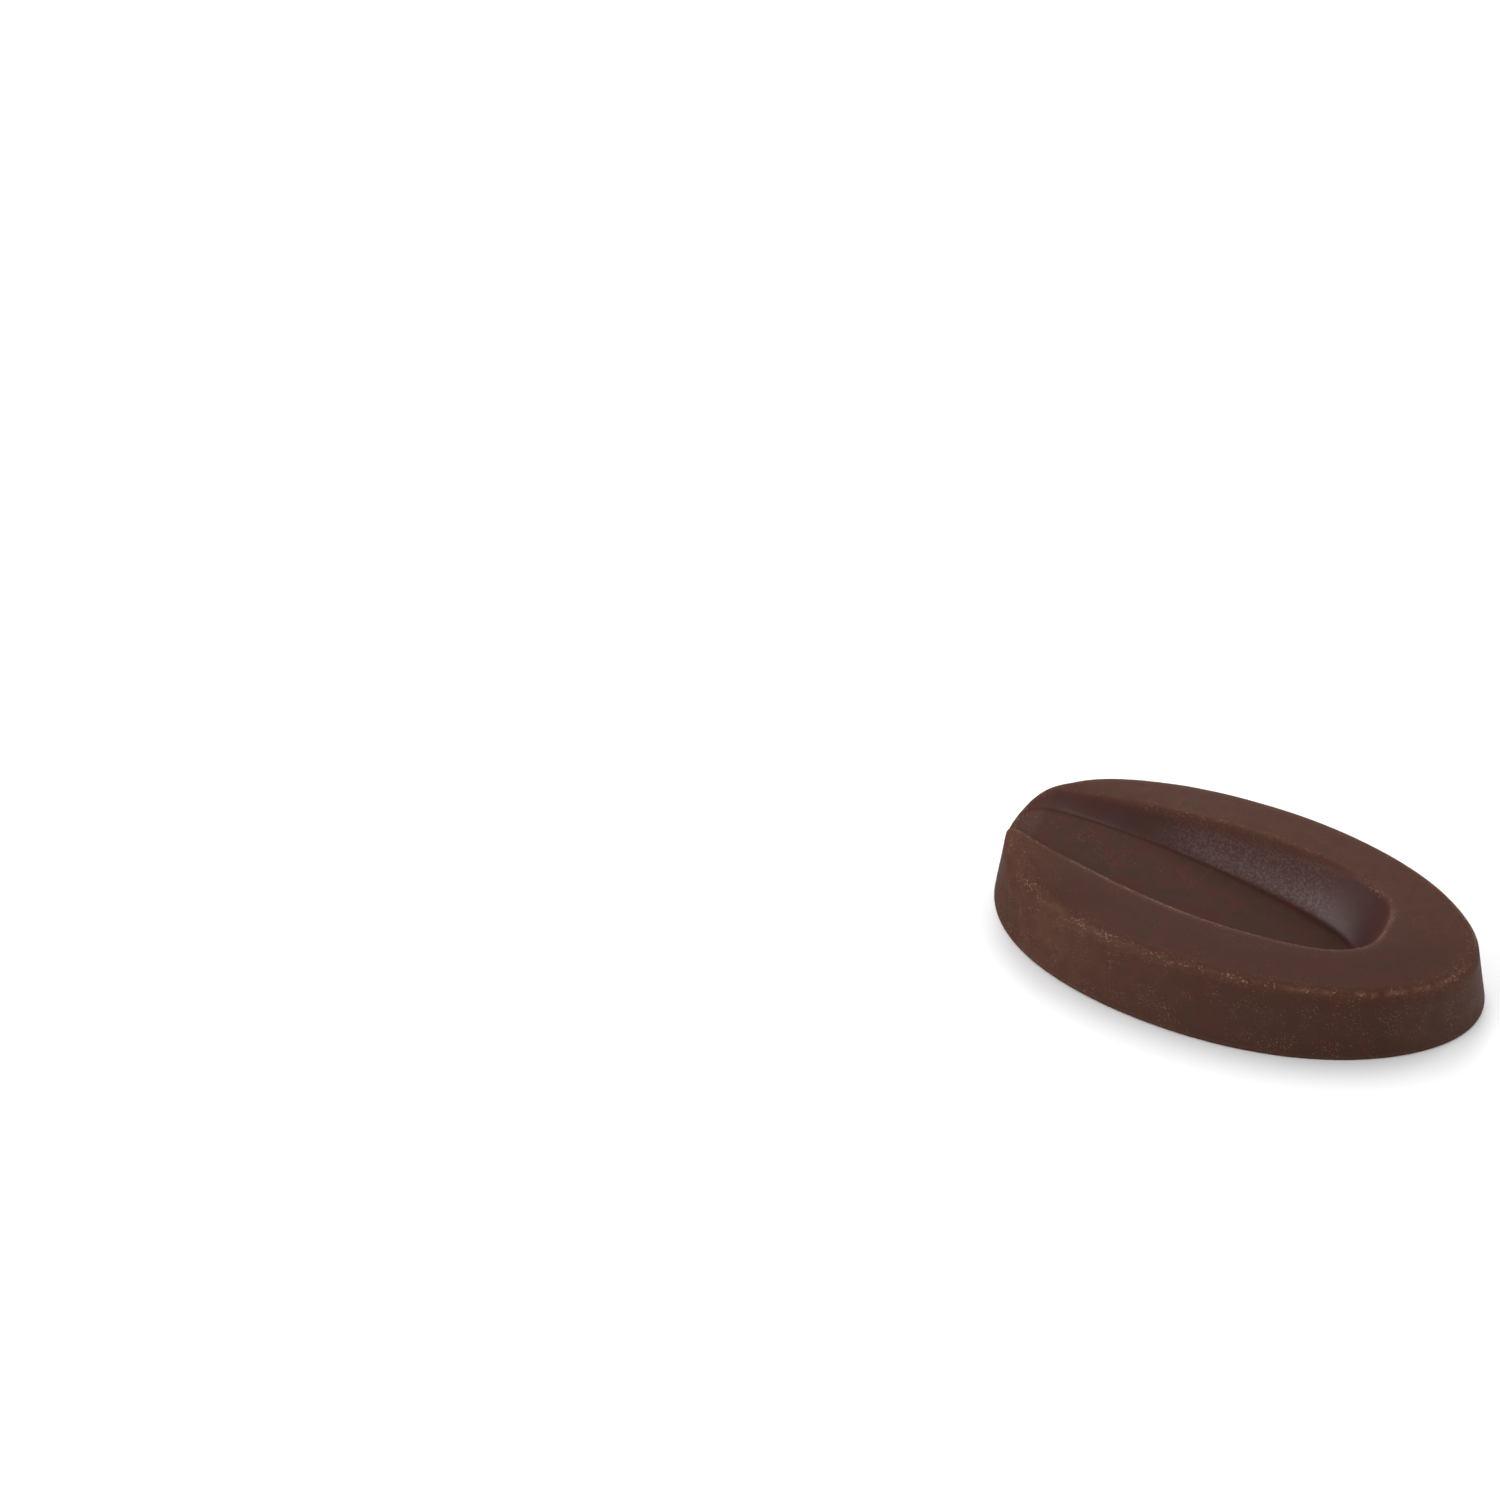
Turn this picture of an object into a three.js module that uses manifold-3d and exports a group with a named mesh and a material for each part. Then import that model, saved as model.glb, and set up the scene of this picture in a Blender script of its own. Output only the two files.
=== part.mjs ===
// An oval disc of dark couverture chocolate, cast in an open mould, with a bean-like crease along its top.
// Millimetres, +Z up. The origin is the middle of the flat underside, +X runs along the length.
// The crease is open at the -X end, the tip, and closed at the +X end, the round end.
import * as THREE from 'three';
import { LoftGeometry } from 'three/addons/geometries/LoftGeometry.js';
import { mergeVertices } from 'three/addons/utils/BufferGeometryUtils.js';
import Module from 'manifold-3d';

// Overall size
const LENGTH = 38;
const WIDTH = 22;
const THICKNESS = 6;

// The oval is a little fuller than an ellipse towards the tip and slimmer towards the round end.
// The three numbers weigh cos, cos squared and cos cubed of the angle round the oval.
const FULLNESS = [-0.039, 0.03, -0.078];

// The side leans in by this much for each millimetre of height
const SIDE_LEAN = 0.31;
const SIDE_LEAN_AT_TIP = 0.11;
const SIDE_LEAN_AT_ROUND_END = 0.18;

// Outside its flat crown the rim slopes down by this much for each millimetre
const RIM_SLOPE = 0.105;

// The crown's inset and the radius of the top edge, by the angle round the oval in degrees
const CROWN_INSETS = [[0, 5.6], [120, 5.6], [150, 4.2], [160, 2.4], [205, 2.4], [240, 5.6], [360, 5.6]];
const TOP_EDGE_RADII = [
  [0, 1.15], [60, 1.3], [90, 1.15], [130, 1.3], [155, 1], [180, 1.1], [200, 1.7], [225, 1.9], [255, 1.1],
  [360, 1.15]
];
const FOOT_RADIUS = 0.15;

// The crease is three curves seen from above, one inside the other: the shoulder, where the rim starts
// to roll over, the crest, where the roll turns into the wall, and the floor's edge.
// end: where the curve closes. widest: where it has its full half width. endPower: how blunt it closes.
// tipHalfWidth: its half width at the tip. taperPower: how late it narrows towards the tip.
// Towards the tip the wall on the -Y side is steep and narrow, and the one on the +Y side broad and soft.
const STEEP_SHOULDER = {
  end: 11.65, widest: -0.6, halfWidth: 5.35, endPower: 2.7, tipHalfWidth: 1.6, taperPower: 1.6
};
const STEEP_CREST = {
  end: 11.05, widest: -0.6, halfWidth: 4.7, endPower: 2.8, tipHalfWidth: 1, taperPower: 1.6
};
const BROAD_SHOULDER = {
  end: 11.65, widest: -6, halfWidth: 6.05, endPower: 2.7, tipHalfWidth: 4.9, taperPower: 1.5
};
const BROAD_CREST = {
  end: 11.05, widest: -6, halfWidth: 4.75, endPower: 3.3, tipHalfWidth: 3.4, taperPower: 1.2
};
const FLOOR = {
  end: 8.8, widest: -4.5, halfWidth: 3.2, endPower: 1.9, tipHalfWidth: 0.8, taperPower: 2.6
};

// The floor is a ramp, deepest at its closed end and level with the rim near the tip, where it turns down
const FLOOR_DEPTH = 3.85;
const FLOOR_DEPTH_AT_TIP = -0.1;
const RAMP_POWER = 1.53;
const EXIT_START = -16;
const EXIT_DROP = 1.95;

// How far the rim has rolled down at the steep crest. The broad side rolls further, until its roll is as
// steep as its wall. Between the two places below it changes to the steep form, and the two meet at the end.
const CREST_DROP = 0.15;
const BROAD_UNTIL = 4;
const STEEP_FROM = 9;

// Facets
const STEPS_ROUND_OVAL = 144;
const STEPS_UP_TOP_EDGE = 6;
const STEPS_UP_FOOT = 2;
const STEPS_ALONG_CREASE = 60;
const STEPS_ACROSS_SHOULDER = 3;

// The form taken out as the crease runs past the tip and above the rim
const OVERRUN = 1;
const CENTRE_LINE_SHORTER = 0.4;

const CHOCOLATE_COLOUR = 0x4b312b;
const HALF_LENGTH = LENGTH / 2;

function blend(from, to, share) {
  return from + (to - from) * share;
}

// 0 at start, 1 at end, and soft between them
function softStep(value, start, end) {
  const share = Math.min(1, Math.max(0, (value - start) / (end - start)));
  return share * share * (3 - 2 * share);
}

// A value given at a few angles, with soft blends between them
function byAngle(table, angle) {
  const degrees = angle * 180 / Math.PI;
  const after = table.findIndex(([mark]) => mark > degrees);
  const [[start, from], [end, to]] = table.slice(after - 1, after + 1);
  return blend(from, to, softStep(degrees, start, end));
}

// One loop of the body, pulled in from the base oval by an inset. Inset and height may depend on the angle.
function ovalRing(insetAt, heightAt) {
  const ring = [];
  for (let i = 0; i < STEPS_ROUND_OVAL; i++) {
    const angle = i / STEPS_ROUND_OVAL * 2 * Math.PI;
    const c = Math.cos(angle);
    const fullness = 1 + FULLNESS[0] * c + FULLNESS[1] * c ** 2 + FULLNESS[2] * c ** 3;
    const x = (HALF_LENGTH - insetAt(angle)) * c;
    const y = (WIDTH / 2 - insetAt(angle)) * Math.sin(angle) * fullness;
    ring.push(new THREE.Vector3(x, y, heightAt(angle)));
  }
  return ring;
}

// The lean of the side, a smooth blend between its long sides and its two ends
function sideLean(angle) {
  const c = Math.cos(angle);
  const difference = (SIDE_LEAN_AT_ROUND_END - SIDE_LEAN_AT_TIP) / 2;
  const average = (SIDE_LEAN_AT_ROUND_END + SIDE_LEAN_AT_TIP) / 2;
  return SIDE_LEAN + difference * c + (average - SIDE_LEAN) * c ** 2;
}

// The top edge at an angle round the oval: a circle tangent to the leaning side and to the sloping rim.
// share runs from 0 at the side to 1 at the rim.
function topEdge(angle, share) {
  const lean = sideLean(angle);
  const tilt = Math.atan(lean);
  const rimTilt = Math.atan(RIM_SLOPE);
  const radius = byAngle(TOP_EDGE_RADII, angle);
  const underRim = THICKNESS - RIM_SLOPE * byAngle(CROWN_INSETS, angle) - radius / Math.cos(rimTilt);
  const underSide = (underRim - FOOT_RADIUS) * lean + radius / Math.cos(tilt);
  const middleInset = underSide / (1 - RIM_SLOPE * lean);
  const turn = blend(tilt, Math.PI / 2 - rimTilt, share);
  return {
    inset: middleInset - radius * Math.cos(turn),
    height: underRim + RIM_SLOPE * middleInset + radius * Math.sin(turn)
  };
}

// The body without its crease: foot rounding, leaning side, top edge, sloping rim and flat crown
function bodyGeometry() {
  const rings = [];
  for (let i = 0; i <= STEPS_UP_FOOT; i++) {
    const turn = i / STEPS_UP_FOOT * Math.PI / 2;
    const inset = FOOT_RADIUS * (1 - Math.sin(turn));
    const height = FOOT_RADIUS * (1 - Math.cos(turn));
    rings.push(ovalRing(() => inset, () => height));
  }
  for (let i = 0; i <= STEPS_UP_TOP_EDGE; i++) {
    const share = i / STEPS_UP_TOP_EDGE;
    rings.push(ovalRing((angle) => topEdge(angle, share).inset, (angle) => topEdge(angle, share).height));
  }
  rings.push(ovalRing((angle) => byAngle(CROWN_INSETS, angle), () => THICKNESS));
  return new LoftGeometry(rings, { capStart: true, capEnd: true });
}

// Half width of one of the crease's curves at x, or of a blend of two of them
function halfWidthAt(curve, x) {
  if (x >= curve.widest) {
    const share = Math.min(1, (x - curve.widest) / (curve.end - curve.widest));
    return curve.halfWidth * (1 - share ** curve.endPower) ** (1 / curve.endPower);
  }
  const share = (curve.widest - x) / (curve.widest + HALF_LENGTH);
  return curve.halfWidth - (curve.halfWidth - curve.tipHalfWidth) * share ** curve.taperPower;
}

function blendCurves(from, to, share) {
  const mixed = {};
  for (const key of Object.keys(from)) {
    mixed[key] = blend(from[key], to[key], share);
  }
  return mixed;
}

function floorHeight(x) {
  const share = Math.max(0, (FLOOR.end - x) / (FLOOR.end + HALF_LENGTH));
  const pastExit = Math.max(0, (EXIT_START - x) / (EXIT_START + HALF_LENGTH));
  const ramp = blend(FLOOR_DEPTH, FLOOR_DEPTH_AT_TIP, share ** RAMP_POWER);
  return THICKNESS - ramp - EXIT_DROP * pastExit ** 2;
}

function crestDrop(x, broad) {
  if (!broad || x > STEEP_FROM) return CREST_DROP;
  const crest = halfWidthAt(BROAD_CREST, x);
  const rollWidth = halfWidthAt(BROAD_SHOULDER, x) - crest;
  const wallWidth = crest - halfWidthAt(FLOOR, x);
  const tangentDrop = (THICKNESS - floorHeight(x)) * rollWidth / (rollWidth + 2 * wallWidth);
  return blend(tangentDrop, CREST_DROP, softStep(x, BROAD_UNTIL, STEEP_FROM));
}

// A closed loop, counterclockwise from above: out along the first curve at -Y, round the end and back along
// the second at +Y. Its points crowd towards the closed end, where it bends most.
function creaseRing(steepCurve, broadCurve, heightAt, widthScale = 1, shorter = 0) {
  const start = -HALF_LENGTH - OVERRUN + shorter;
  const end = steepCurve.end - shorter;
  const ring = [];
  for (let i = -STEPS_ALONG_CREASE; i <= STEPS_ALONG_CREASE; i++) {
    const broad = i > 0;
    const x = start + (end - start) * Math.sin((1 - Math.abs(i) / STEPS_ALONG_CREASE) * Math.PI / 2);
    const y = Math.sign(i) * halfWidthAt(broad ? broadCurve : steepCurve, x) * widthScale;
    ring.push(new THREE.Vector3(x, y, heightAt(x, broad)));
  }
  return ring;
}

// Rings of the crease from the floor's centre line out to its edge, up the wall and over the shoulder
function creaseGeometry() {
  const rings = [
    creaseRing(FLOOR, FLOOR, floorHeight, 0, CENTRE_LINE_SHORTER),
    creaseRing(FLOOR, FLOOR, floorHeight)
  ];
  for (let i = STEPS_ACROSS_SHOULDER; i >= 0; i--) {
    const share = i / STEPS_ACROSS_SHOULDER;
    const steepCurve = blendCurves(STEEP_SHOULDER, STEEP_CREST, share);
    const broadCurve = blendCurves(BROAD_SHOULDER, BROAD_CREST, share);
    const heightAt = (x, broad) => THICKNESS - crestDrop(x, broad) * share ** 2;
    rings.push(creaseRing(steepCurve, broadCurve, heightAt));
  }
  rings.push(creaseRing(STEEP_SHOULDER, BROAD_SHOULDER, () => THICKNESS + OVERRUN));
  return new LoftGeometry(rings, { capEnd: true });
}

const wasm = await Module();
wasm.setup();

function solidOf(geometry) {
  const bare = new THREE.BufferGeometry();
  bare.setAttribute('position', geometry.attributes.position);
  bare.setIndex(geometry.index);
  const merged = mergeVertices(bare);
  return new wasm.Manifold(new wasm.Mesh({
    numProp: 3,
    vertProperties: merged.attributes.position.array,
    triVerts: new Uint32Array(merged.index.array)
  }));
}

function geometryOf(solid) {
  const mesh = solid.getMesh();
  const geometry = new THREE.BufferGeometry();
  geometry.setAttribute('position', new THREE.BufferAttribute(mesh.vertProperties, mesh.numProp));
  geometry.setIndex(new THREE.BufferAttribute(mesh.triVerts, 1));
  geometry.computeVertexNormals();
  return geometry;
}

function chocolateDisc() {
  const solid = solidOf(bodyGeometry()).subtract(solidOf(creaseGeometry()));
  const chocolate = new THREE.MeshStandardMaterial({ color: CHOCOLATE_COLOUR, roughness: 0.5 });
  const mesh = new THREE.Mesh(geometryOf(solid), chocolate);
  mesh.name = 'chocolate_disc';
  return mesh;
}

const part = new THREE.Group();
part.add(chocolateDisc());

export default part;
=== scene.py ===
# %% [markdown]
# # An oval disc of dark couverture
# This lesson dresses one small casting: a disc of dark chocolate, 38 mm long and shaped like half a bean,
# with a crease along its top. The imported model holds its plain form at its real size. It is loaded first,
# and everything after it is fitted to that form, so the dressed disc stays where the plain one is.

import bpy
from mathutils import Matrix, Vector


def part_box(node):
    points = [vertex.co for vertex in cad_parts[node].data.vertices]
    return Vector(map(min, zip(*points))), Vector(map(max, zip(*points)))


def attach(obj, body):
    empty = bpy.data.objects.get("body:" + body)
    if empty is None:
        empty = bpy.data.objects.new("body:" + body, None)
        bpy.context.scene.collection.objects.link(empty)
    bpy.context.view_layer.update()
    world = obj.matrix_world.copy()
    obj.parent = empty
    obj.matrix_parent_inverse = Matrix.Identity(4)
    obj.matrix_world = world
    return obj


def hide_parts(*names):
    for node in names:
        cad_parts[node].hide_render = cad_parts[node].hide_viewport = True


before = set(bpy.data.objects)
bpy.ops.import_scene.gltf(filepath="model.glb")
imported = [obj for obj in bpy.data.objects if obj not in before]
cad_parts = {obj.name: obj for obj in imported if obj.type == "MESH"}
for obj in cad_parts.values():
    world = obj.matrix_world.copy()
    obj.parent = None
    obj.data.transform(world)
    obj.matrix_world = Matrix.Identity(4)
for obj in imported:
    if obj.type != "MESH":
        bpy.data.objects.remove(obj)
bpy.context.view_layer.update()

# %% [markdown]
# ## Sizes
# The length and thickness are read from the plain disc, and its half width is given. The other sizes say
# how the real piece is moulded: its sides lean in so that it drops out of the mould, and its edges are
# rounded. A disc this small is easier to think of in millimetres, so every length here is in millimetres
# until the mesh is made in metres. A value that changes round the oval is a short table, by the angle in
# degrees from the round end.

# %% Sizes of the body
import math

import bpy
import numpy as np
from mathutils import Vector, noise

MM = 0.001
low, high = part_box("chocolate_disc")
HALF_LENGTH = (high.x - low.x) / MM / 2
HALF_WIDTH = 11.0
THICKNESS = (high.z - low.z) / MM

# The oval is made fuller or slimmer by these shares of the cosine of the angle, its square and its cube
FULLNESS = (-0.039, 0.03, -0.078)

# How far the sides lean in, and how far the rim drops outside its crown, for each millimetre
SIDE_LEAN = 0.31
SIDE_LEAN_AT_TIP = 0.11
SIDE_LEAN_AT_ROUND_END = 0.18
RIM_SLOPE = 0.105

FOOT_RADIUS = 0.15
CROWN_INSETS = {0: 5.6, 120: 5.6, 150: 4.2, 160: 2.4, 205: 2.4, 240: 5.6, 360: 5.6}
TOP_EDGE_RADII = {0: 1.15, 60: 1.3, 90: 1.15, 130: 1.3, 155: 1.0, 180: 1.1, 200: 1.7, 225: 1.9, 255: 1.1,
                  360: 1.15}
print("half length", round(HALF_LENGTH, 2), "thickness", round(THICKNESS, 2))

# %% [markdown]
# ## The crease in plan
# Seen from above the crease is three curves, one inside the other: the shoulder, where the rim starts to
# roll over, the crest, where the roll turns into the wall, and the floor's edge. Each one is blunt at its
# closed end and tapers towards the tip, where the crease is open. One long side is steep and narrow and the
# other broad and soft, so the shoulder and the crest have a curve for each side. A few numbers give each
# curve, and blends of two curves give everything between them, so the wall keeps its form round the closed
# end too.

# %% Curves of the crease
# Along the disc lie a curve's end and its widest place. Its half width is given there and at the tip.
STEEP_SHOULDER = dict(end=11.65, widest=-0.6, half=5.35, end_power=2.7, tip_half=1.6, taper=1.6)
STEEP_CREST = dict(end=11.05, widest=-0.6, half=4.7, end_power=2.8, tip_half=1.0, taper=1.6)
BROAD_SHOULDER = dict(end=11.65, widest=-6, half=6.05, end_power=2.7, tip_half=4.9, taper=1.5)
BROAD_CREST = dict(end=11.05, widest=-6, half=4.75, end_power=3.3, tip_half=3.4, taper=1.2)
FLOOR = dict(end=8.8, widest=-4.5, half=3.2, end_power=1.9, tip_half=0.8, taper=2.6)
HALVINGS = 24


def blend(start, end, share):
    return start + (end - start) * share


def half_width_between(outer, inner, share, x):
    """Half width at x of the curve that lies at share between an outer and an inner curve."""
    end, widest, half, end_power, tip_half, taper = (blend(outer[key], inner[key], share) for key in outer)
    to_end = np.clip((x - widest) / (end - widest), 0, 1)
    to_tip = np.clip((widest - x) / (widest + HALF_LENGTH), 0, None)
    closing = half * (1 - to_end ** end_power) ** (1 / end_power)
    return np.where(x >= widest, closing, half - (half - tip_half) * to_tip ** taper)


def half_width(curve, x):
    return half_width_between(curve, curve, 0, x)


def share_between(outer, inner, x, y, least, most):
    """How far (x, y) lies from the outer curve towards the inner one, found by halving."""
    from_share = np.full(x.shape, float(least))
    to_share = np.full(x.shape, float(most))
    for _ in range(HALVINGS):
        middle = (from_share + to_share) / 2
        outside = half_width_between(outer, inner, middle, x) <= np.abs(y)
        to_share = np.where(outside, middle, to_share)
        from_share = np.where(outside, from_share, middle)
    return (from_share + to_share) / 2


print("crest half width at the middle", round(float(half_width(STEEP_CREST, np.array(0.0))), 2))

# %% [markdown]
# ## Soft joins
# A mould has no knife edges: where two of its surfaces meet, a small rounding joins them. A soft minimum or
# maximum of two heights gives that rounding while the form is still numbers. A bevel needs a clean edge in
# the mesh to work on, and there is none where two soft surfaces run into each other.

# %% Joins of two heights
def soft_min(a, b, rounding):
    """The lower of two heights, with the corner between them rounded."""
    near = np.clip(1 - np.abs(a - b) / rounding, 0, 1)
    return np.minimum(a, b) - near ** 2 * rounding / 4


def soft_max(a, b, rounding):
    """The higher of two heights, with the corner between them rounded."""
    return -soft_min(-a, -b, rounding)


def soft_step(value, start, end):
    """0 below start, 1 above end, and soft between them."""
    share = np.clip((value - start) / (end - start), 0, 1)
    return share * share * (3 - 2 * share)


print("rounded corner of two equal heights", soft_min(1.0, 1.0, 0.2))

# %% [markdown]
# ## The crease as a height
# Three surfaces meet in the crease: the shoulder's gentle roll, the wall and the ramp of the floor. The ramp
# is deepest at the closed end, rises towards the tip and drops off softly there. On the broad side the roll
# goes down until it is as steep as the wall, so no edge shows between them. The wall is a little hollow, and
# more so at the tip: steep below the crest and easier at its foot.

# %% Heights in the crease
FLOOR_DEPTH = 3.85
FLOOR_DEPTH_AT_TIP = -0.1
RAMP_POWER = 1.53
EXIT_START = -16
EXIT_DROP = 1.95
CREST_DROP = 0.15
CREST_ROUNDING = 0.16
FLOOR_ROUNDING = 0.1

# The broad side's roll is whole up to the first place along the disc and gone at the second
BROAD_UNTIL = 4
STEEP_FROM = 9
THINNEST_WALL = 0.01

WALL_HOLLOW = 1.35
WALL_HOLLOW_AT_TIP = 1.9
HOLLOW_CHANGE = (-18, -13)

# Shares from outside the first curve, which is 0, to inside the second, which is 1
ROLL_SHARES = (-3, 2)
WALL_SHARES = (-0.3, 1.25)


def floor_height(x):
    ramp = np.clip((FLOOR["end"] - x) / (FLOOR["end"] + HALF_LENGTH), 0, None) ** RAMP_POWER
    past_exit = np.clip((EXIT_START - x) / (EXIT_START + HALF_LENGTH), 0, None)
    return THICKNESS - blend(FLOOR_DEPTH, FLOOR_DEPTH_AT_TIP, ramp) - EXIT_DROP * past_exit ** 2


def crest_drop(x, broad, floor):
    """How far the crest lies below the top. On the broad side the roll ends as steep as the wall."""
    roll_width = half_width(BROAD_SHOULDER, x) - half_width(BROAD_CREST, x)
    wall_width = half_width(BROAD_CREST, x) - half_width(FLOOR, x)
    broad_drop = (THICKNESS - floor) * roll_width / np.maximum(roll_width + 2 * wall_width, THINNEST_WALL)
    return blend(CREST_DROP, broad_drop, np.where(broad, 1 - soft_step(x, BROAD_UNTIL, STEEP_FROM), 0))


def crease_height(x, y):
    """Height of the crease at (x, y), and how far the point is down the wall."""
    broad = y > 0
    shoulder = {key: np.where(broad, BROAD_SHOULDER[key], STEEP_SHOULDER[key]) for key in FLOOR}
    crest = {key: np.where(broad, BROAD_CREST[key], STEEP_CREST[key]) for key in FLOOR}
    roll = share_between(shoulder, crest, x, y, *ROLL_SHARES)
    down = share_between(crest, FLOOR, x, y, *WALL_SHARES)
    floor = floor_height(x)
    drop = crest_drop(x, broad, floor)
    rolled = THICKNESS - drop * np.where(roll > 1, 2 * roll - 1, roll * np.abs(roll))
    power = blend(WALL_HOLLOW_AT_TIP, WALL_HOLLOW, soft_step(x, *HOLLOW_CHANGE))
    hollow = np.where(down < 0, down * power, 1 - np.clip(1 - down, 0, 1) ** power)
    wall = THICKNESS - drop - (THICKNESS - drop - floor) * (hollow + np.clip(down - 1, 0, 1))
    return soft_max(floor, soft_min(rolled, wall, CREST_ROUNDING), FLOOR_ROUNDING), down


print("floor at the middle", round(float(floor_height(np.array(0.0))), 2), "mm high")

# %% [markdown]
# ## Places on the oval
# The mesh is a fan of ribs, which start on the base oval and meet on the centre line. A grid like this has no
# poles and no long thin faces. The rim slopes down from its crown, which follows the oval at a distance, so
# a rib has to know how far inside the oval each of its points is. That is found by halving too.

# %% Ribs in plan
COLUMNS = 640
CENTRE_START = 5.5
CENTRE_END = -13.0


def fullness(cosine):
    return 1 + np.polyval((*FULLNESS[::-1], 0), cosine)


def inset_at(plan):
    """How far each point lies inside the base oval, found by halving."""
    from_inset = np.zeros(plan.shape[:2])
    to_inset = np.full(plan.shape[:2], HALF_WIDTH)
    for _ in range(HALVINGS):
        middle = (from_inset + to_inset) / 2
        cosine = np.clip(plan[..., 0] / (HALF_LENGTH - middle), -1, 1)
        edge = (HALF_WIDTH - middle) * np.sqrt(1 - cosine ** 2) * fullness(cosine)
        outside = edge <= np.abs(plan[..., 1])
        to_inset = np.where(outside, middle, to_inset)
        from_inset = np.where(outside, from_inset, middle)
    return (from_inset + to_inset) / 2


def by_angle(table, angle):
    """A value given at a few angles in degrees, with soft blends between them."""
    marks, values = np.array(list(table)), np.array(list(table.values()))
    degrees = np.degrees(angle) % 360
    after = np.searchsorted(marks, degrees, "right")
    return blend(values[after - 1], values[after], soft_step(degrees, marks[after - 1], marks[after]))


def rim_drop(plan):
    """How far the rim has sloped down at each point."""
    inset = inset_at(plan)
    cosine = np.clip(plan[..., 0] / (HALF_LENGTH - inset), -1, 1)
    turn = np.arctan2(np.sign(plan[..., 1]) * np.sqrt(1 - cosine ** 2), cosine)
    return RIM_SLOPE * (by_angle(CROWN_INSETS, turn) - inset)


angle = np.arange(COLUMNS) * 2 * math.pi / COLUMNS
cosine = np.cos(angle)[:, None]
outward = np.stack([cosine[:, 0], np.sin(angle) * fullness(cosine[:, 0])], axis=1)
base = outward * (HALF_LENGTH, HALF_WIDTH)
to_tip = 1 - np.abs(1 - angle / math.pi)
centre_line = np.stack([blend(CENTRE_START, CENTRE_END, to_tip), 0 * angle], axis=1)
print("ribs", COLUMNS, "widest", round(float(np.abs(base[:, 1]).max()), 2), "mm from the centre line")

# %% [markdown]
# ## Foot, side and top edge
# Each rib turns over the small rounding of the foot, climbs the leaning side and turns over the top edge. The
# side's lean and the edge's radius change round the oval, so the arc of the edge is placed for each rib, to
# touch both its side and its sloping rim. Everything is worked out as an inset and a height.

# %% The outer part of the ribs
FOOT_SAMPLES = 14
SIDE_SAMPLES = 60
EDGE_SAMPLES = 80

long_side = (SIDE_LEAN_AT_ROUND_END + SIDE_LEAN_AT_TIP) / 2 - SIDE_LEAN
lean = SIDE_LEAN + (SIDE_LEAN_AT_ROUND_END - SIDE_LEAN_AT_TIP) / 2 * cosine + long_side * cosine ** 2
radius = by_angle(TOP_EDGE_RADII, angle)[:, None]
tilt = np.arctan(lean)
rim_tilt = math.atan(RIM_SLOPE)

foot_turn = np.linspace(0, 1, FOOT_SAMPLES) * (math.pi / 2 + tilt)
foot_inset = FOOT_RADIUS * (1 - np.sin(foot_turn))
foot_height = FOOT_RADIUS * (1 - np.cos(foot_turn))

under_rim = THICKNESS - RIM_SLOPE * by_angle(CROWN_INSETS, angle)[:, None] - radius / math.cos(rim_tilt)
arc_inset = foot_inset[:, -1:] + (under_rim - foot_height[:, -1:]) * lean + radius / np.cos(tilt)
arc_inset /= 1 - RIM_SLOPE * lean
arc_height = under_rim + RIM_SLOPE * arc_inset
edge_turn = tilt + np.linspace(0, 1, EDGE_SAMPLES) * (math.pi / 2 - rim_tilt - tilt)
edge_inset = arc_inset - radius * np.cos(edge_turn)
edge_height = arc_height + radius * np.sin(edge_turn)

up_the_side = np.linspace(0, 1, SIDE_SAMPLES)[1:-1]
side_height = blend(foot_height[:, -1:], edge_height[:, :1], up_the_side)
side_inset = blend(foot_inset[:, -1:], edge_inset[:, :1], up_the_side)
print("top edge between", round(float(edge_height.min()), 2), "and", round(float(edge_height.max()), 2), "mm")

# %% [markdown]
# ## Rim and crease
# From the top edge a rib crosses the rim and runs down the crease to the centre line. The rim's height and
# the crease's are both worked out for every point, and the lower one is kept, with a rounding that shrinks to
# almost nothing on the crown and at the foot, so that neither is pulled down.

# %% The whole ribs, finely sampled
RIM_SAMPLES = 520
TOP_ROUNDING = 0.05
CROWN_ROUNDING = 0.15
CREASE_EDGE = (-0.1, 0.2)

inset = np.concatenate([foot_inset, side_inset, edge_inset], axis=1)
outer_plan = base[:, None] - outward[:, None] * inset[:, :, None]
inwards = np.linspace(0, 1, RIM_SAMPLES)[None, 1:, None]
rim_plan = blend(outer_plan[:, -1:], centre_line[:, None], inwards)
plan = np.concatenate([outer_plan, rim_plan], axis=1)
rim_height = soft_min(THICKNESS, THICKNESS - rim_drop(rim_plan), CROWN_ROUNDING)
body = np.concatenate([foot_height, side_height, edge_height, rim_height], axis=1)
crease, down_wall = crease_height(plan[..., 0], plan[..., 1])
height = soft_min(body, crease, TOP_ROUNDING + np.minimum(THICKNESS - body, body / 2))
in_crease = soft_step(body - crease, *CREASE_EDGE)
deepest = THICKNESS - height[:, -1].min()
print("ribs", plan.shape[0], "with", plan.shape[1], "samples; deepest", round(float(deepest), 2), "mm")

# %% [markdown]
# ## Spacing the rows
# Equal steps along a rib would waste faces on the flat rim and starve the crest. Here a step costs its length
# plus a share of how far the rib bends in it, and the rows are spread evenly over that cost. So they crowd
# where the chocolate turns a corner, and one row follows the next smoothly from rib to rib.

# %% Spread the rows
ROWS = 132
BEND_COST = 0.9
BEND_SPREAD = 9

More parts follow.
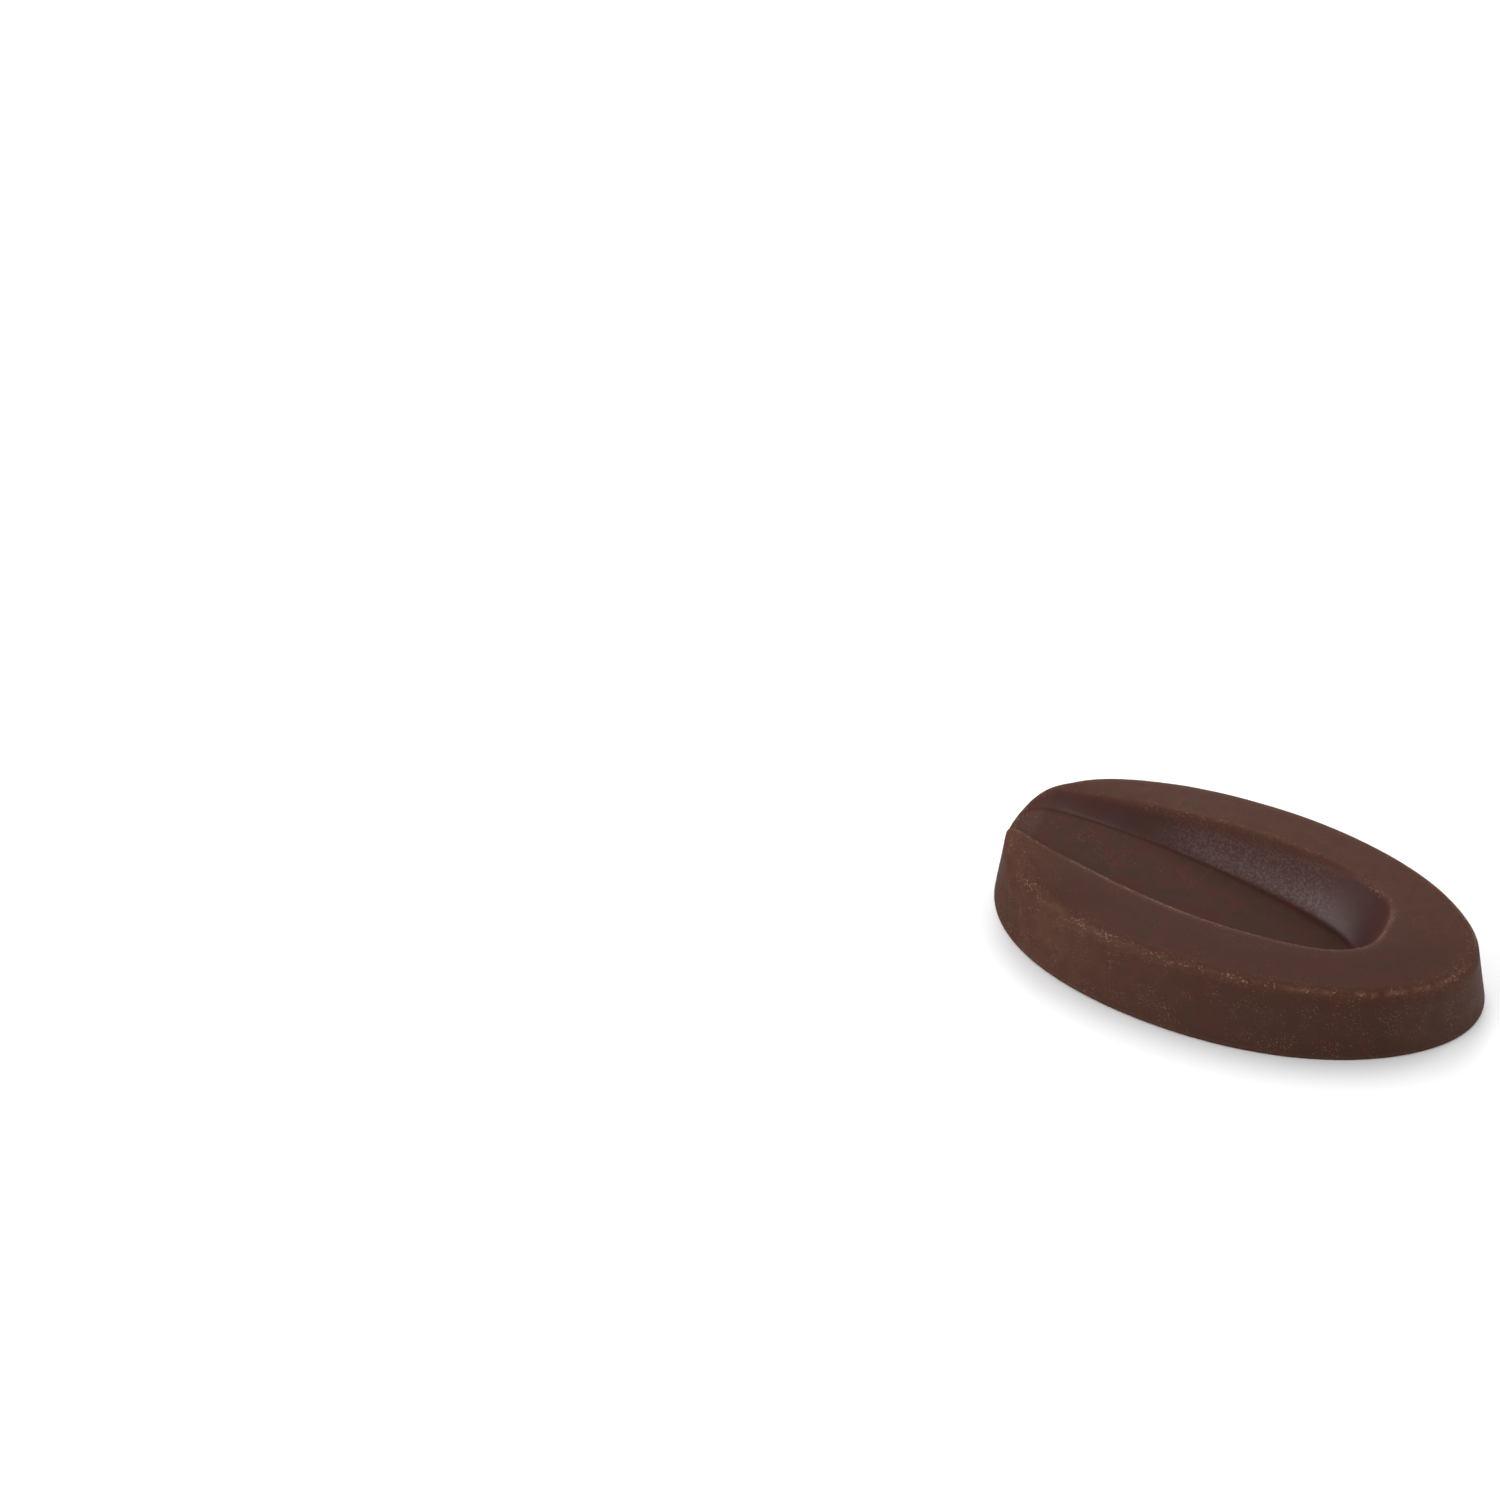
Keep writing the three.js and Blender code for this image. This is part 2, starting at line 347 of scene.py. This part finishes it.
rib = np.concatenate([plan, height[..., None]], axis=2)
step = np.diff(rib, axis=1)
step_length = np.linalg.norm(step, axis=2)
slope = np.arctan2(step[..., 2], np.linalg.norm(step[..., :2], axis=2))
bend = np.zeros(height.shape)
bend[:, 1:-1] = np.diff(slope, axis=1)
travel = np.concatenate([np.zeros((len(rib), 1)), np.cumsum(step_length, axis=1)], axis=1)
kernel = np.hanning(BEND_SPREAD + 2)[1:-1] / np.hanning(BEND_SPREAD + 2).sum()


def spread_rows(values, places, wanted):
    return np.stack([np.interp(w, p, v) for w, p, v in zip(wanted, places, values)])


bend_cost = np.stack([np.convolve(np.abs(row), kernel, "same") for row in bend])
cost = travel + BEND_COST * np.cumsum(bend_cost, axis=1)
cost -= cost[:, :1]
wanted = cost[:, -1:] * np.linspace(0, 1, ROWS)
grid = np.stack([spread_rows(rib[..., axis], cost, wanted) for axis in range(3)], axis=2)
grid_down = spread_rows(down_wall, cost, wanted)
grid_travel = spread_rows(travel, cost, wanted)
shortest = np.linalg.norm(np.diff(grid, axis=1), axis=2).min()
print("rows", ROWS, "shortest step", round(float(shortest), 3), "mm")

# %% [markdown]
# ## Where the disc is worn
# In its bag a disc is rubbed on all sides, so the edges that stand out lose their polish and look warmer and
# drier than the rest. An edge stands out where the rib bends outwards, so the bend itself, blurred over a
# short reach, tells how worn a place is. Painting the wear by hand could look as good, but would have to be
# done again whenever the form changes.

# %% Measure the wear
WEAR_REACH = 0.22
MOST_WORN = 1.6


def worn_share(places):
    """How sharply each rib bends outwards near its rows, from 0 to 1."""
    worn = np.zeros(places.shape)
    for row, (place, rib_travel, rib_bend) in enumerate(zip(places, travel, bend)):
        reach = np.exp(-0.5 * ((place[:, None] - rib_travel) / WEAR_REACH) ** 2)
        worn[row] = reach @ -rib_bend / (WEAR_REACH * math.sqrt(2 * math.pi))
    return np.clip(worn, 0, MOST_WORN) / MOST_WORN


grid_worn = worn_share(grid_travel)
print("most worn", round(float(grid_worn.max()), 2), "mean", round(float(grid_worn.mean()), 3))

# %% [markdown]
# ## Marks for the parts of the surface
# The finish changes from the wall of the crease to its floor, to the rim and to the side. A mark is a number
# from 0 to 1 on every point that tells how far the point belongs to a part. Inside the crease, how far down
# the wall a point is gives the wall, the floor, the corner between them, which gets painted shade, and the
# sheen, which grows towards the wall's foot. Outside it, the height gives the side and a line along the foot,
# where a painted highlight goes.

# %% Mark wall, floor, corner and side
WALL_STARTS, WALL_ENDS = (-0.25, 0.12), (0.85, 1)
SHEEN_STARTS, SHEEN_ENDS = (-0.1, 0.9), (0.88, 1)
FLOOR_STARTS = (0.93, 1.01)
CORNER_WIDTH = 0.12
SIDE_BELOW_TOP, RIM_BELOW_TOP = 2.2, 0.6
FOOT_LINE = 0.28
FOOT_LINE_WIDTH = 0.08

grid_inside = spread_rows(in_crease, cost, wanted)
grid_wall = soft_step(grid_down, *WALL_STARTS) * (1 - soft_step(grid_down, *WALL_ENDS)) * grid_inside
grid_sheen = soft_step(grid_down, *SHEEN_STARTS) * (1 - soft_step(grid_down, *SHEEN_ENDS))
# The corner between wall and floor, where painted shade goes
grid_corner = np.exp(-((grid_down - 1) / CORNER_WIDTH) ** 2) * grid_inside
grid_floor = soft_step(grid_down, *FLOOR_STARTS) * grid_inside
outside_crease = 1 - np.maximum(grid_wall, grid_floor)
grid_side = 1 - soft_step(grid[..., 2], THICKNESS - SIDE_BELOW_TOP, THICKNESS - RIM_BELOW_TOP)
grid_side *= outside_crease
# A thin line just above the foot's rounding, where a painted highlight goes
grid_foot_highlight = np.exp(-((grid[..., 2] - FOOT_LINE) / FOOT_LINE_WIDTH) ** 2)
print("wall share", round(float(grid_wall.mean()), 3), "floor share", round(float(grid_floor.mean()), 3))

# %% [markdown]
# ## Marks for crumbs, dryness and painted light
# Crumbs of chocolate rub off in a thin line along the middle of the top edge. How warm and pale the side
# looks from dryness differs round the oval, so it is a table by the angle. On the rim the same mark is
# painted light
# where the light from behind falls: some on the far side, and most near the tip on the near side.

# %% Mark crumbs, dryness and painted light
EDGE_LINE = 0.5
EDGE_LINE_WIDTH = 0.16
SIDE_DRYNESS = {0: 0.5, 25: 0.35, 90: 0.3, 160: 0.4, 180: 0.6, 205: 0.4, 228: 0.8, 258: 0.25, 275: 0.1,
                315: 0, 335: 0.5, 348: 0.8, 360: 0.7}
RIM_HEIGHTS = (5.0, 5.8)
# Painted light on the rim where the light from behind falls: some on the far side, most near the tip
FAR_RIM_PAINTED_LIGHT = 0.3
FAR_RIM = (-2, 3)
TIP_PAINTED_LIGHT = 0.65
TOWARDS_TIP = (10.5, 16.5)
TOWARDS_FRONT = (0, 2)

edge_share = np.full(height.shape, -1.0)
edge_share[:, inset.shape[1] - EDGE_SAMPLES:inset.shape[1]] = np.linspace(0, 1, EDGE_SAMPLES)
on_edge = np.exp(-((edge_share - EDGE_LINE) / EDGE_LINE_WIDTH) ** 2)
grid_edge = spread_rows(on_edge, cost, wanted)

below_rim = (1 - soft_step(grid[..., 2], *RIM_HEIGHTS)) * outside_crease
near_tip = soft_step(-grid[..., 0], *TOWARDS_TIP) * soft_step(-grid[..., 1], *TOWARDS_FRONT)
# The rim's part of this mark is painted light, and the side's part is dryness
rim_painted_light = FAR_RIM_PAINTED_LIGHT * soft_step(grid[..., 1], *FAR_RIM) + TIP_PAINTED_LIGHT * near_tip
side_dryness = by_angle(SIDE_DRYNESS, angle)[:, None]
grid_dry_and_painted_light = blend(rim_painted_light, side_dryness, below_rim) * outside_crease
print("driest", round(float(grid_dry_and_painted_light.max()), 2))

# %% [markdown]
# ## The flat underside
# The disc cooled on a flat sheet, so its underside is plane. A few more rows run from the foot to the same
# centre line, below. Nothing shows there, so they are wide and bear no marks.

# %% Rows of the underside
UNDERSIDE_ROWS = 14
under_share = np.linspace(0, 1, UNDERSIDE_ROWS + 1)[:-1, None]
foot_plan = grid[:, :1, :2]
under_plan = blend(centre_line[:, None], foot_plan, under_share[None])
underside = np.concatenate([under_plan, np.zeros(under_plan.shape[:2] + (1,))], axis=2)


def with_underside(values):
    return np.concatenate([np.zeros(underside.shape[:2]), values], axis=1)


grid = np.concatenate([underside, grid], axis=1)
marks = {name: with_underside(values) for name, values in
         dict(worn=grid_worn, wall=grid_wall, sheen=grid_sheen, corner=grid_corner, bed=grid_floor,
              side=grid_side, edge=grid_edge, foot=grid_foot_highlight, dry_and_painted_light=grid_dry_and_painted_light).items()}
print("rows in all", grid.shape[1])

# %% [markdown]
# ## From ribs to a mesh
# The ribs go all the way round. The ribs of the two long sides meet on the centre line, above and below,
# where they share their points. Every face is a quad.

# %% Make the mesh
points = grid.swapaxes(0, 1)
row_count = points.shape[0]
number = np.arange(row_count * COLUMNS).reshape(row_count, COLUMNS)
twin = np.minimum(np.arange(COLUMNS), -np.arange(COLUMNS) % COLUMNS)
number[0] = number[0][twin]
number[-1] = number[-1][twin]
right = np.roll(number, -1, axis=1)
quads = np.stack([number[:-1], right[:-1], right[1:], number[1:]], axis=-1).reshape(-1, 4)
kept, quads = np.unique(quads, return_inverse=True)
quads = quads.reshape(-1, 4)
points = points.reshape(-1, 3)[kept]
marks = {name: values.swapaxes(0, 1).reshape(-1)[kept] for name, values in marks.items()}

mesh = bpy.data.meshes.new("dark_chocolate_disc")
mesh.from_pydata(points * MM, [], quads)
mesh.shade_smooth()
disc = bpy.data.objects.new("dark_chocolate_disc", mesh)
bpy.context.scene.collection.objects.link(disc)
print("mesh has", len(mesh.vertices), "points and", len(mesh.polygons), "quads")

# %% [markdown]
# ## Small unevenness
# No casting is perfect. Broad, shallow waves break up the reflections on the rim and sides, the hollow
# of the crease has a pebbled skin where it let go of the mould, and the worn edges are nicked. These are
# real relief, moved along the surface's own direction, because a bump map alone leaves the outline smooth.

# %% Relief
WAVE_HEIGHT = 0.035
RIPPLE_SHARE = 0.4
PEBBLE_HEIGHT = 0.014
FINE_PEBBLE_SHARE = 0.5
PEBBLE_STRETCH = (1, 0.7, 0.5)
PEBBLES_START, PEBBLES_END = (-10, -3), (3.5, 8)
NICK_DEPTH = 0.05
NICK_THRESHOLD = 0.15
SAND_HEIGHT = 0.006
RELIEF_HEIGHTS = (0.05, 1.2)


def lumps(size, seed, stretch=(1, 1, 1)):
    """Soft noise from about -1 to 1 at every point, with lumps of the given size in millimetres."""
    places = points * stretch / size + seed * np.array([31.7, 17.3, 5.9])
    return np.array([noise.noise(place) for place in places])


length = points[:, 0]
pebbled = marks["wall"] * soft_step(length, *PEBBLES_START) * (1 - soft_step(length, *PEBBLES_END))
waves = WAVE_HEIGHT * lumps(size=7, seed=1) + RIPPLE_SHARE * WAVE_HEIGHT * lumps(size=2.6, seed=2)
pebbles = lumps(size=0.42, seed=3, stretch=PEBBLE_STRETCH)
pebbles += FINE_PEBBLE_SHARE * lumps(size=0.25, seed=4, stretch=PEBBLE_STRETCH)
nicks = np.clip(lumps(size=0.5, seed=5) - NICK_THRESHOLD, 0, 1) * marks["worn"] ** 2
sand = SAND_HEIGHT * lumps(size=0.3, seed=6) * (marks["side"] + marks["worn"])
relief = waves + PEBBLE_HEIGHT * pebbles * pebbled - NICK_DEPTH * nicks + sand
relief *= soft_step(points[:, 2], *RELIEF_HEIGHTS)

normal = np.empty(len(points) * 3, np.float32)
mesh.vertex_normals.foreach_get("vector", normal)
points = points + normal.reshape(-1, 3) * relief[:, None]
mesh.vertices.foreach_set("co", (points * MM).astype(np.float32).ravel())
mesh.update()
for name, values in {**marks, "pebbled": pebbled}.items():
    mesh.attributes.new(name, "FLOAT", "POINT").data.foreach_set("value", values.astype(np.float32))
print("relief from", round(float(relief.min()), 3), "to", round(float(relief.max()), 3), "mm")

# %% [markdown]
# ## Writing a finish as sums
# A finish is easier to read as a sum than as a drawing of nodes. The class below wraps one socket, so that
# adding or multiplying two of them adds the Math node that does it. Every other kind of node comes from
# its one method, which takes the node's settings first and then the values or links of its sockets.

# %% Shader maths
class Shade:
    """A socket of a finish. Without a socket it is the place to start new nodes from."""

    def __init__(self, tree, socket=None):
        self.tree = tree
        self.socket = socket

    def node(self, kind, settings=None, sockets=None, output=0):
        """Adds one node: its settings first, then its sockets, which are values or other shades."""
        node = self.tree.nodes.new("ShaderNode" + kind)
        for name, value in (settings or {}).items():
            setattr(node, name, value)
        for key, value in (sockets or {}).items():
            if isinstance(value, Shade):
                self.tree.links.new(value.socket, node.inputs[key])
            else:
                node.inputs[key].default_value = value
        return Shade(self.tree, node.outputs[output] if node.outputs else None)

    def math(self, operation, first, second):
        return self.node("Math", {"operation": operation}, {0: first, 1: second})

    def __add__(self, other):
        return self.math("ADD", self, other)

    def __sub__(self, other):
        return self.math("SUBTRACT", self, other)

    def __rsub__(self, other):
        return self.math("SUBTRACT", other, self)

    def __mul__(self, other):
        return self.math("MULTIPLY", self, other)

    __radd__ = __add__
    __rmul__ = __mul__

    def step(self, start, end):
        """0 below start, 1 above end, and soft between them."""
        sockets = {"Value": self, "From Min": start, "From Max": end}
        return self.node("MapRange", {"interpolation_type": "SMOOTHSTEP"}, sockets)

    def mix(self, first, second):
        """The first colour where this is 0, the second where it is 1."""
        return self.node("Mix", {"data_type": "RGBA"}, {0: self, 6: first, 7: second}, output=2)


# %% [markdown]
# ## Places, noise and marks for the finish
# Dark chocolate is a nearly black brown with a soft satin gloss, and what makes it look real is small. Noise
# gives the patches and specks, in millimetres of the disc itself, so that they stay on it from every side.
# The marks measured above say where each one goes, and the place along the disc says how strong it is there.

# %% Start the finish
material = bpy.data.materials.new("dark_chocolate")
material.use_nodes = True
material.node_tree.nodes.clear()
start = Shade(material.node_tree)
metres = start.node("TexCoord", output="Object")
place = start.node("VectorMath", {"operation": "SCALE"}, {0: metres, "Scale": 1 / MM})
along = start.node("SeparateXYZ", sockets={0: place})


def cloud(size, seed, detail=2, roughness=0.5):
    """Noise from 0 to 1 with clouds of the given size in millimetres."""
    shifted = start.node("VectorMath", {"operation": "ADD"}, {0: place, 1: (seed, seed * 2, seed * 3)})
    sockets = {"Vector": shifted, "Scale": 1 / size, "Detail": detail, "Roughness": roughness}
    return start.node("TexNoise", sockets=sockets)


def mark(name):
    return start.node("Attribute", {"attribute_name": name}, output="Fac")


worn, wall, bed, side, dry_and_painted_light = mark("worn"), mark("wall"), mark("bed"), mark("side"), mark("dry_and_painted_light")
crumbs, corner, pebbly = mark("edge"), mark("corner"), mark("pebbled")
print("marks in the finish:", ", ".join(sorted([*marks, "pebbled"])))

# %% [markdown]
# ## The browns of the casting
# The rim is the plain brown. The side is a little greyer, and the floor of the crease cooler. Its wall is
# purplish, and paler in the middle of its length. Where the cocoa butter set unevenly there are faint green
# and red clouds, strongest on the floor. Each brown is mixed over the last one by its mark.

# %% Base colours
BROWN = (0.048, 0.0187, 0.0132, 1)
SIDE_BROWN = (0.046, 0.0210, 0.0150, 1)
COOL_BROWN = (0.050, 0.0215, 0.0172, 1)
PURPLE_BROWN = (0.050, 0.0225, 0.0215, 1)
HOLLOW_BROWN = (0.070, 0.0300, 0.0270, 1)
GREENISH = (0.041, 0.0210, 0.0127, 1)
REDDISH = (0.055, 0.0190, 0.0140, 1)
CLOUD_EDGE = (0.45, 0.62)
HOLLOW_STARTS, HOLLOW_ENDS = (-9, -1), (6, 9.5)

colour = side.mix(BROWN, SIDE_BROWN)
colour = (0.5 * bed).mix(colour, COOL_BROWN)
colour = wall.mix(colour, PURPLE_BROWN)
colour = (cloud(size=1.6, seed=3).step(*CLOUD_EDGE) * (0.5 + 0.5 * bed)).mix(colour, GREENISH)
colour = (cloud(size=1.2, seed=7).step(*CLOUD_EDGE) * (0.5 + 0.5 * bed)).mix(colour, REDDISH)
mid_wall = wall * along.step(*HOLLOW_STARTS) * (1 - 0.5 * along.step(*HOLLOW_ENDS))
colour = mid_wall.mix(colour, HOLLOW_BROWN)
print("plain brown", BROWN[:3])

# %% [markdown]
# ## Dry, rubbed and leathery places, and painted light
# Dry places are warmer and paler, in patches, and the same warmer brown is painted light on the far rim and
# near the tip. The line on the top edge where crumbs rubbed off is paler still, more so towards the round
# end, and so are the sharpest crests, partly from wear and partly as a painted highlight. The skin in the
# hollow of the crease looks leathery, and its pebbles get a painted highlight: a paler brown than the gaps
# between them.

# %% Wear and painted light in the colour
WARM_BROWN = (0.073, 0.0325, 0.0225, 1)
RUBBED_BROWN = (0.105, 0.0500, 0.0330, 1)
CREST_WEAR_AND_HIGHLIGHT_BROWN = (0.112, 0.0640, 0.0500, 1)
PEBBLE_HIGHLIGHT_BROWN = (0.125, 0.068, 0.058, 1)
PATCH_EDGE = (0.3, 0.7)
SOMEWHAT_WORN, SHARPLY_WORN = (0.1, 0.6), (0.6, 1)
RUBBED_FROM_TIP, RUBBED_ROUND_END = (-17, -12), (2, 9)
CREST_STRENGTH = 0.55
CREST_PATCHES = (0.35, 0.65)
PEBBLE_HIGHLIGHT_STRENGTH = 0.45
PEBBLE_TOPS = (0.42, 0.62)

dry_patches = cloud(size=1.1, seed=11, detail=4).step(*PATCH_EDGE)
dryness_and_painted_light = dry_and_painted_light * (0.6 + 0.8 * dry_patches) + 0.35 * worn.step(*SOMEWHAT_WORN)
# Dryness, and painted light on the rim, mix in the warmer brown
colour = dryness_and_painted_light.mix(colour, WARM_BROWN)
rubbed = crumbs * cloud(size=0.7, seed=41, detail=4).step(*PATCH_EDGE)
rubbed *= 0.25 + 0.3 * along.step(*RUBBED_FROM_TIP) + 0.45 * along.step(*RUBBED_ROUND_END)
colour = rubbed.mix(colour, RUBBED_BROWN)
# The sharpest crests: wear and a painted highlight
sharp_crest = CREST_STRENGTH * worn.step(*SHARPLY_WORN) * cloud(size=1.8, seed=43).step(*CREST_PATCHES)
colour = sharp_crest.mix(colour, CREST_WEAR_AND_HIGHLIGHT_BROWN)
# Painted highlight on the pebbles of the leathery skin
leathery = pebbly * cloud(size=0.19, seed=47).step(*PEBBLE_TOPS)
colour = (PEBBLE_HIGHLIGHT_STRENGTH * leathery).mix(colour, PEBBLE_HIGHLIGHT_BROWN)
print("rubbed brown", RUBBED_BROWN[:3])

# %% [markdown]
# ## Specks, the foot's painted highlight and the corner's painted shade
# Pale specks of rubbed-off chocolate cling to the casting. Fine ones lie on the side, the worn edges and the
# tip's end of the floor, and coarser ones along the crumbling edge. Fine noise cut off high gives specks, and
# a broad noise thins them out in places, so they lie in drifts. A painted highlight in the same pale colour
# runs along the foot. The corner where wall and floor meet gets painted shade, a darker brown, as little
# light reaches it.

# %% Specks in the colour
DUST_AND_FOOT_HIGHLIGHT = (0.23, 0.13, 0.085, 1)
PAINTED_SHADE_BROWN = (0.030, 0.0120, 0.0090, 1)
CLEAN_FLOOR = (-8, 0)
SAND_CUT, SAND_DRIFTS = (0.6, 0.72), (0.4, 0.65)
DUST_CUT, DUST_DRIFTS = (0.58, 0.66), (0.42, 0.55)
DUSTY_FLANKS, DUSTY_CRESTS = (0.1, 0.5), (0.5, 0.9)
SPECK_STRENGTH = 0.6
FOOT_HIGHLIGHT_STRENGTH = 0.08
CORNER_SHADE_STRENGTH = 0.35

sand = cloud(size=0.11, seed=13, detail=1).step(*SAND_CUT) * cloud(size=1.5, seed=29).step(*SAND_DRIFTS)
dust = cloud(size=0.17, seed=31, detail=1).step(*DUST_CUT) * cloud(size=1.4, seed=37).step(*DUST_DRIFTS)
sandy_floor = bed * (1 - along.step(*CLEAN_FLOOR))
specks = 0.5 * sand * (0.4 + side + 0.7 * worn + 0.6 * sandy_floor + 0.6 * dry_and_painted_light)
specks += dust * (0.9 * crumbs + 0.3 * worn.step(*DUSTY_FLANKS) + 0.5 * worn.step(*DUSTY_CRESTS))
# Pale specks of dust, and a painted highlight along the foot in the same pale colour
colour = (SPECK_STRENGTH * specks + FOOT_HIGHLIGHT_STRENGTH * mark("foot")).mix(colour, DUST_AND_FOOT_HIGHLIGHT)
# Painted shade in the corner between wall and floor
colour = (CORNER_SHADE_STRENGTH * corner).mix(colour, PAINTED_SHADE_BROWN)
print("dust", DUST_AND_FOOT_HIGHLIGHT[:3])

# %% [markdown]
# ## Gloss, grain and sheen
# The casting has a satin gloss where it isn't dried out or worn. It is given as a thin coat, because the
# weight
# of a coat may change over the surface: less under the mark of dryness and painted light, and near the tip,
# hardly any in the dark corner, and more on the side at the round end. The wall of the crease has a sheen of
# its own, which grows towards its foot and towards its closed end. A fine bump adds the grain that is too
# small to model.

# %% Gloss and relief of the finish
POLISH = 0.085
POLISH_STARTS = (-19.5, -9)
SIDE_POLISH = 0.1
SIDE_POLISH_STARTS = (12, 18)
SHEEN, SHEEN_STARTS_ALONG = 0.4, (-18, -11)
SHEEN_GAIN, SHEEN_GAINS_ALONG = 0.32, (2, 7)
SHEEN_LOSS, SHEEN_LOSES_ALONG = 0.2, (7.5, 10)
ROUGHNESS = 0.5
COAT_ROUGHNESS = 0.45
BASE_SHINE = 0.01
GRAIN_DEPTH = 0.02
GRAIN_STRENGTH = 0.5

gloss = ROUGHNESS + 0.15 * worn + 0.1 * cloud(size=0.9, seed=17)
grain = 0.35 * cloud(size=0.12, seed=19, detail=3) + 1.2 * leathery + 0.6 * specks
bump = {"Strength": GRAIN_STRENGTH, "Distance": GRAIN_DEPTH * MM, "Height": grain}
bumped = start.node("Bump", sockets=bump)
polished = start.math("MAXIMUM", along.step(*POLISH_STARTS), bed)
polish = POLISH * (1 - 0.35 * dryness_and_painted_light) * polished * (1 - 0.8 * corner)
polish += SIDE_POLISH * side * along.step(*SIDE_POLISH_STARTS)
sheen = wall * (0.05 + 1.1 * mark("sheen")) * (0.8 + 0.5 * leathery)
sheen_along = SHEEN * along.step(*SHEEN_STARTS_ALONG) + SHEEN_GAIN * along.step(*SHEEN_GAINS_ALONG)
polish += sheen * (sheen_along - SHEEN_LOSS * along.step(*SHEEN_LOSES_ALONG))

finish = {"Base Color": colour, "Roughness": gloss, "Normal": bumped, "Coat Weight": polish}
finish |= {"Specular IOR Level": BASE_SHINE, "Coat Roughness": COAT_ROUGHNESS}
chocolate = start.node("BsdfPrincipled", sockets=finish)
start.node("OutputMaterial", sockets={"Surface": chocolate})
mesh.materials.append(material)
print("finish has", len(material.node_tree.nodes), "nodes")

# %% [markdown]
# ## Taking the plain disc's place
# The dressed disc rides on the only body and stands for the plain one, which is then hidden.

# %% Replace the plain disc
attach(disc, "root")
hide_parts("chocolate_disc")
print(disc.name, "stands for chocolate_disc")

# %% [markdown]
# ## A white floor
# Small food is shown on white. The floor is one square, far larger than the disc, so its edges stay out of
# the picture unless the camera is almost level. A faint white world fills the shadows.

# %% Floor and world
FLOOR_SIZE = 6.0
FLOOR_WHITE = (0.9, 0.9, 0.9, 1)
FLOOR_ROUGHNESS = 0.8
WORLD_WHITE = (1, 1, 1, 1)
WORLD_STRENGTH = 0.05

reach = FLOOR_SIZE / 2
floor_points = [(-reach, -reach, 0), (reach, -reach, 0), (reach, reach, 0), (-reach, reach, 0)]
floor_mesh = bpy.data.meshes.new("floor")
floor_mesh.from_pydata(floor_points, [], [(0, 1, 2, 3)])
floor = bpy.data.objects.new("floor", floor_mesh)
bpy.context.scene.collection.objects.link(floor)
white = bpy.data.materials.new("white_table")
white.use_nodes = True
white_inputs = white.node_tree.nodes["Principled BSDF"].inputs
white_inputs["Base Color"].default_value = FLOOR_WHITE
white_inputs["Roughness"].default_value = FLOOR_ROUGHNESS
floor_mesh.materials.append(white)

world = bpy.data.worlds.new("white_room")
bpy.context.scene.world = world
world.use_nodes = True
world_inputs = world.node_tree.nodes["Background"].inputs
world_inputs["Color"].default_value = WORLD_WHITE
world_inputs["Strength"].default_value = WORLD_STRENGTH
print("floor", FLOOR_SIZE, "m wide")

# %% [markdown]
# ## Soft light
# Most of the light comes from behind, high and low, so the rim shines softly and the shadow falls forward. A
# card in front and one at the right fill the sides, and a small lamp at the front left draws the sheen in the
# crease. All are square area lamps, because a large lamp near a small thing gives soft shadows.

# %% Lamps
LAMP_DISTANCE = 0.7

# Azimuth and elevation in degrees, size in metres and power in watts
LAMPS = {
    "back_lamp": (205, 55, 0.5, 2.8),
    "low_back_lamp": (205, 20, 0.35, 2.1),
    "right_lamp": (150, 45, 0.4, 1.6),
    "left_lamp": (250, 45, 0.4, 1.1),
    "front_card": (-30, 20, 0.5, 3.9),
    "right_card": (90, 25, 0.4, 1.75),
    "sheen_lamp": (-60, 42, 0.3, 0.9),
}


def set_up(thing, azimuth, elevation, distance, target=Vector()):
    """Puts a lamp or camera where it looks at the target. Azimuth 0 is in front and 90 at the round end."""
    turned, raised = math.radians(azimuth), math.radians(elevation)
    level = math.cos(raised)
    away = Vector((math.sin(turned) * level, -math.cos(turned) * level, math.sin(raised)))
    thing.location = target + away * distance
    thing.rotation_euler = away.to_track_quat("Z", "Y").to_euler()
    bpy.context.scene.collection.objects.link(thing)


for name, (azimuth, elevation, size, power) in LAMPS.items():
    light = bpy.data.lights.new(name, "AREA")
    light.size = size
    light.energy = power
    set_up(bpy.data.objects.new(name, light), azimuth, elevation, LAMP_DISTANCE)
bpy.context.scene.view_settings.view_transform = "Standard"
print("lamps", len(LAMPS))

# %% [markdown]
# ## The camera
# The camera looks down on the disc at about 43 degrees through a long lens. It aims a little to the left of
# the disc, which leaves it at the right of the frame.

# %% Camera
CAMERA_ELEVATION = 42.56
CAMERA_AZIMUTH = 24.58
CAMERA_DISTANCE = 0.3887
AIM = Vector((-0.04184, 0.00391, 0))
SENSOR_WIDTH = 36
LENS = 120

camera_data = bpy.data.cameras.new("camera")
camera_data.sensor_width = SENSOR_WIDTH
camera_data.lens = LENS
camera_data.clip_start = 0.01
camera = bpy.data.objects.new("camera", camera_data)
set_up(camera, CAMERA_AZIMUTH, CAMERA_ELEVATION, CAMERA_DISTANCE, AIM)
bpy.context.scene.camera = camera
print("camera at", [round(value, 4) for value in camera.location])
